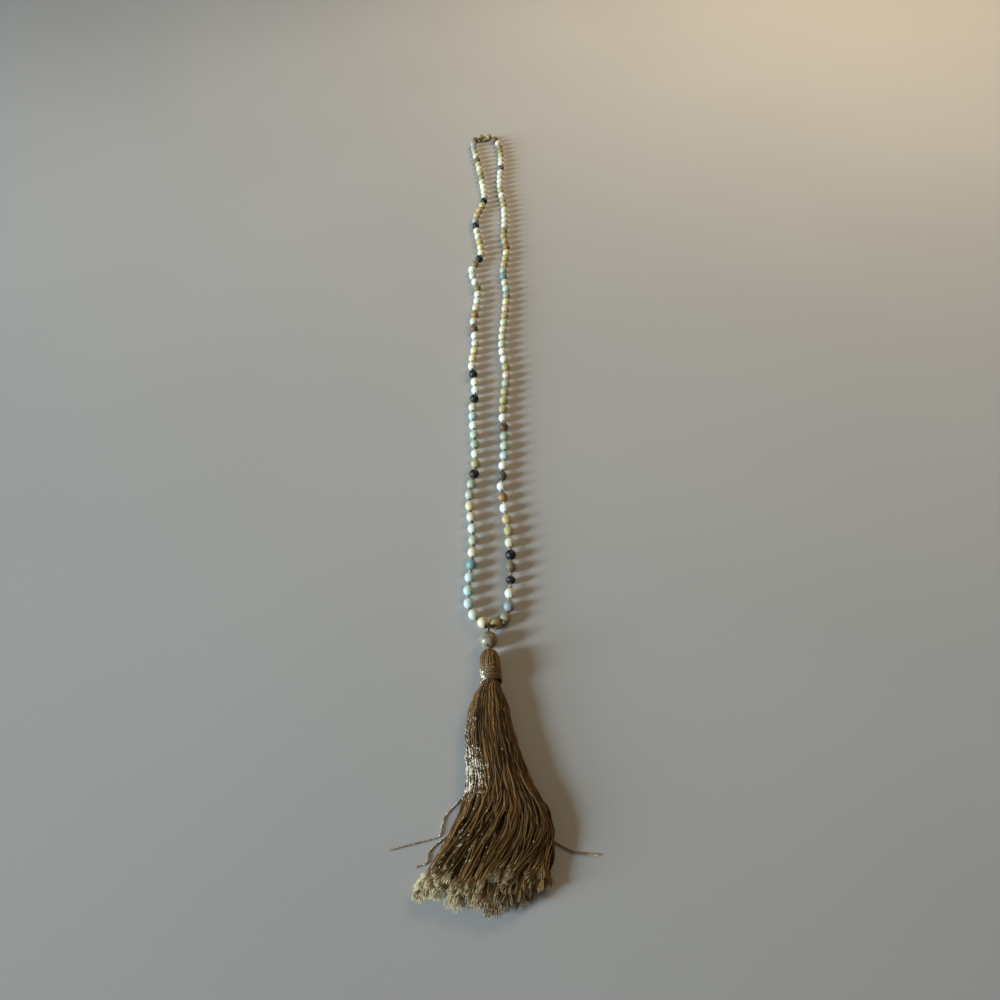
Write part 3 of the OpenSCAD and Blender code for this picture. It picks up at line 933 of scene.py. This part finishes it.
def skirt_core(material):
    """Inside of the skirt, painted dark as shade, a little under its outermost threads, closed on the floor
    side.
    """
    t = np.linspace(-0.04, 0.86, 60)
    across = np.concatenate([np.linspace(-1, 1, 33), np.linspace(1.05, 1.6, 6), np.linspace(-1.6, -1.05, 6)])
    rings = skirt_place(t[:, None], across[None], np.full((len(t), len(across)), 1.7))
    rings[..., 2] = np.maximum(rings[..., 2], 0.35)
    count = len(across)
    shrink = np.interp(t, [0.6, 0.86], [1, 0.84])
    centre = rings.mean(1, keepdims=True)
    rings = centre + (rings - centre) * shrink[:, None, None]
    faces = ring_faces(len(t), count).tolist()
    faces += [list(range(count)), [(len(t) - 1) * count + n for n in range(count)][::-1]]
    made = piece("skirt_inside", to_world(rings).reshape(-1, 3) * MM, faces, material)


def head_radius(share):
    """Radius of the head at a share of its length, blunt at the nose and drawn in at the band."""
    nose = np.sin(np.arccos(np.clip(1 - share / 0.62, 0, 1))) ** 0.92
    return HEAD_D / 2 * nose - (HEAD_D - NECK_D) / 2 * smooth(0.86, 1.03, share)


def tassel_head(material, inside):
    """Folded threads over the head, side by side from the hole at the top to the band, and its inside,
    painted dark as shade.
    """
    rng = np.random.default_rng(5)
    count = HEAD_THREADS
    share = np.concatenate([[0.004, 0.012, 0.03, 0.06], np.linspace(0.1, 1.04, 16)])
    turn = np.arange(count) * FULL_TURN / count + rng.uniform(-0.03, 0.03, count)
    radius = head_radius(share)
    middle = np.maximum(radius - 0.42, 0.75)[None] + rng.uniform(-0.12, 0.12, (count, 1))
    angle = turn[:, None] + 0.06 * np.sin(share * 5 + rng.uniform(0, 6, (count, 1)))
    path = np.stack([
        middle * np.cos(angle),
        np.broadcast_to(-HEAD_START - 0.35 - share * HEAD_LEN, angle.shape),
        AXIS_Z + middle * np.sin(angle),
    ], -1)
    width = np.minimum(0.42, 0.12 + middle * math.pi / count * 1.3)
    outward = path - np.stack([np.zeros_like(angle), path[..., 1] - 0.2, np.full(angle.shape, AXIS_Z)], -1)
    made = tubes_piece(
        "head_threads", to_world(path), width, 7, ways_to_world(outward), material,
        {"tone": rng.uniform(0.1, 1, count), "glint": np.full(count, 0.008), "tip": np.full(count, 0.1),
         "number": np.arange(count)},
    )
    rings, sides = 24, 40
    share = np.linspace(0.02, 1.15, rings)
    radius = np.maximum(np.minimum(head_radius(np.minimum(share, 1)), NECK_D / 2 + 0.6) - 0.75, 0.6)
    around = np.arange(sides) * FULL_TURN / sides
    core = np.stack([
        radius[:, None] * np.cos(around),
        np.broadcast_to((-HEAD_START - 0.4 - share * HEAD_LEN)[:, None], (rings, sides)),
        AXIS_Z + radius[:, None] * np.sin(around),
    ], -1)
    faces = ring_faces(rings, sides)[:, [0, 3, 2, 1]].tolist()
    faces += [list(range(sides))[::-1], [(rings - 1) * sides + n for n in range(sides)]]
    made = piece("head_inside", to_world(core).reshape(-1, 3) * MM, faces, inside)


def tassel_band(material):
    """Thread wound round the neck, each turn a little uneven, and three turns that cross the others."""
    rng = np.random.default_rng(9)
    count = BAND_TURNS * 48
    share = np.linspace(0, 1, count)
    angle = share * BAND_TURNS * 2 * math.pi
    pitch = (WRAP_LEN - 0.9) / BAND_TURNS
    lean = 0.28 * np.sin(angle) + 0.12 * np.sin(angle * 0.37 + 1)
    radius = NECK_D / 2 + 0.5 + 0.07 * np.sin(angle * 0.31) + 0.05 * np.sin(3 * angle + 2)
    main = np.stack([
        radius * np.cos(angle),
        -WRAP_START - 0.25 - share * BAND_TURNS * pitch - lean * 0.5,
        AXIS_Z + radius * np.sin(angle),
    ], -1)
    crossing = []
    for k in range(3):
        round_once = np.linspace(0, FULL_TURN, count) + rng.uniform(0, 6)
        r = NECK_D / 2 + 0.68 + 0.05 * np.sin(2 * round_once)
        level = WRAP_START + WRAP_LEN * (0.2 + 0.27 * k) + 1.1 * np.cos(round_once + k)
        crossing.append(np.stack([r * np.cos(round_once), -level, AXIS_Z + r * np.sin(round_once)], -1))
    paths = np.array([main, *crossing])
    outward = paths.copy()
    outward[..., 1] = 0
    outward[..., 2] -= AXIS_Z
    size = np.full(paths.shape[:2], 0.27)
    size[0] = 0.44
    # Painted highlight: bright flecks on the turns that face the window at the left and point upward.
    facing = unit(outward)
    glint = 0.015 + 0.3 * smooth(0.3, 0.75, -facing[..., 0]) * (facing[..., 2] > -0.1)
    made = tubes_piece(
        "wound_band", to_world(paths), size, 8, ways_to_world(outward), material,
        {"tone": [0.5, 1.0, 0.7, 1.0], "glint": glint, "tip": np.zeros(4), "number": np.arange(4)},
    )
    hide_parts("tassel_wrap")


def spline(points, count):
    """Even points on a smooth line through the given ones."""
    points = np.array(points, float)
    ends = np.concatenate([[2 * points[0] - points[1]], points, [2 * points[-1] - points[-2]]])
    made = []
    for k in range(1, len(ends) - 2):
        a, b, c, d = ends[k - 1:k + 3]
        t = np.linspace(0, 1, 40)[:, None]
        made.append(0.5 * (2 * b + (c - a) * t + (2 * a - 5 * b + 4 * c - d) * t ** 2
                           + (3 * b - a - 3 * c + d) * t ** 3))
    made = np.concatenate(made)
    run = np.concatenate([[0], np.cumsum(np.linalg.norm(np.diff(made, axis=0), axis=1))])
    at = np.linspace(0, run[-1], count)
    return np.stack([np.interp(at, run, made[:, k]) for k in range(made.shape[1])], 1)


def stray_threads(material):
    """Three loose threads on the surface, each of two plies twisted round each other."""
    reach = SKIRT_START + SKIRT_LEN
    plies = []
    for route in STRAY_ROUTES:
        line = spline([[p[0] * SKIRT_HALF_W, -p[1] * reach, STRAY_D / 2] for p in route], 90)
        run = np.concatenate([[0], np.cumsum(np.linalg.norm(np.diff(line, axis=0), axis=1))])
        way = unit(np.gradient(line, axis=0))
        side = np.stack([-way[:, 1], way[:, 0], np.zeros(len(way))], 1)
        for start in (0, math.pi):
            turn = (run * 2 * math.pi / STRAY_TWIST + start)[:, None]
            plies.append(line + STRAY_D / 4 * (np.cos(turn) * side + np.sin(turn) * [0, 0, 1]))
    plies = np.array(plies)
    share = np.linspace(0, 1, plies.shape[1])
    bright_start = 0.5 * (1 - smooth(0.4, 0.7, share)) + 0.22
    even = 0.25 + 0 * share
    bright_end = 0.03 + 0.9 * smooth(0.75, 0.85, share)
    glint = np.repeat([bright_start, even, bright_end], 2, 0)
    radii = np.full(plies.shape[:2], STRAY_D / 5)
    made = tubes_piece(
        "stray_spun_threads", to_world(plies), radii, 8, [0, 0.05, 1], material,
        {"tone": [0.8, 1.0, 0.7, 1.0, 0.6, 0.9], "glint": glint, "tip": np.full(6, 0.35),
         "number": np.arange(6)},
    )
    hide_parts("stray_threads")


# Stage

def camera():
    data = bpy.data.cameras.new("camera")
    data.lens = CAMERA_LENS
    data.sensor_width = 36
    data.clip_start = 0.01
    made = bpy.data.objects.new("camera", data)
    made.location = CAMERA_PLACE
    made.rotation_euler = (math.radians(CAMERA_FROM_STRAIGHT_DOWN), 0, 0)
    bpy.context.scene.collection.objects.link(made)
    bpy.context.scene.camera = made


def floor():
    corners = [(x * FLOOR_HALF, y * FLOOR_HALF, 0) for x, y in ((-1, -1), (1, -1), (1, 1), (-1, 1))]
    mesh = bpy.data.meshes.new("floor")
    mesh.from_pydata(corners, [], [(0, 1, 2, 3)])
    mesh.materials.append(floor_material())
    made = bpy.data.objects.new("floor", mesh)
    bpy.context.scene.collection.objects.link(made)


def lamp(name, place, target, size, power, colour, spread):
    """Round lamp that looks from place to target, with its spread in degrees."""
    data = bpy.data.lights.new(name, "AREA")
    data.shape = "DISK"
    data.size = size
    data.energy = power
    data.color = colour
    data.spread = math.radians(spread)
    made = bpy.data.objects.new(name, data)
    way = np.array(target, float) - np.array(place, float)
    flat = math.hypot(way[0], way[1])
    made.rotation_euler = (math.atan2(flat, -way[2]), 0, math.atan2(way[1], way[0]) - math.pi / 2)
    made.location = place
    bpy.context.scene.collection.objects.link(made)


def studio():
    """Cool light from a window at the left, a weak warm lamp at the far right, and a warm fill."""
    world = bpy.data.worlds.new("studio")
    world.use_nodes = True
    background = world.node_tree.nodes["Background"]
    background.inputs["Color"].default_value = (1.0, 0.82, 0.6, 1)
    background.inputs["Strength"].default_value = 0.16
    bpy.context.scene.world = world
    lamp("window", (-4.3, -1.75, 1.86), (0.1, 0.3, 0), 1.0, 26, WINDOW_LIGHT, 60)
    lamp("low_window", (-4.4, -1.65, 0.85), (0.1, 0.3, 0), 1.5, 16, WINDOW_LIGHT, 40)
    lamp("room", (0.9, 1.2, 1.0), (0.35, 0.65, 0), 1.0, 4.0, (1.0, 0.76, 0.46), 64)
    bpy.context.scene.view_settings.view_transform = "Standard"


camera()
studio()
floor()

frosted = stone_material("frosted_stone", 0.5, 0.66, 0.05, 260)
polished = stone_material("polished_large_stone", 0.3, 0.42, 0.2, 520)
cord_thread = spun_material("cord_thread", ("#33241a", "#ab9468", "#d8c79c", "#efe6c4"), 0.36, 1.1, 0.6)
dark_thread = spun_material("dark_cord_thread", ("#22110d", "#5b3a2a", "#9c7c48", "#c9b59a"), 0.4, 1.1, 0.6)
tassel_thread = spun_material("tassel_thread", ("#160b04", "#926f43", "#a98a56", "#f6f0da"), 0.34, 1.7, 0.8)
band_thread = spun_material("band_thread", ("#2e1f0f", "#8c6f47", "#d8c79c", "#f6f2e2"), 0.3, 1.5, 3.4)
fibres = fibre_material()
shaded = core_material()

guru_middle = box_middle("guru_bead")
left_beads = strand("bead_strand_left", guru_middle + [-3, 11, 0])
right_beads = strand("bead_strand_right", guru_middle + [4, 10, 0])
left_piece = bead_piece("stone_beads_left", "bead_strand_left", left_beads, LEFT_STONES, frosted, 1)
right_piece = bead_piece("stone_beads_right", "bead_strand_right", right_beads, RIGHT_STONES, frosted, 2)
large_bead(polished)
knotted_thread(left_beads, right_beads, cord_thread, dark_thread)
skirt_core(shaded)
frayed_tips(skirt_layers(tassel_thread), fibres)
tassel_head(tassel_thread, shaded)
tassel_band(band_thread)
stray_threads(tassel_thread)
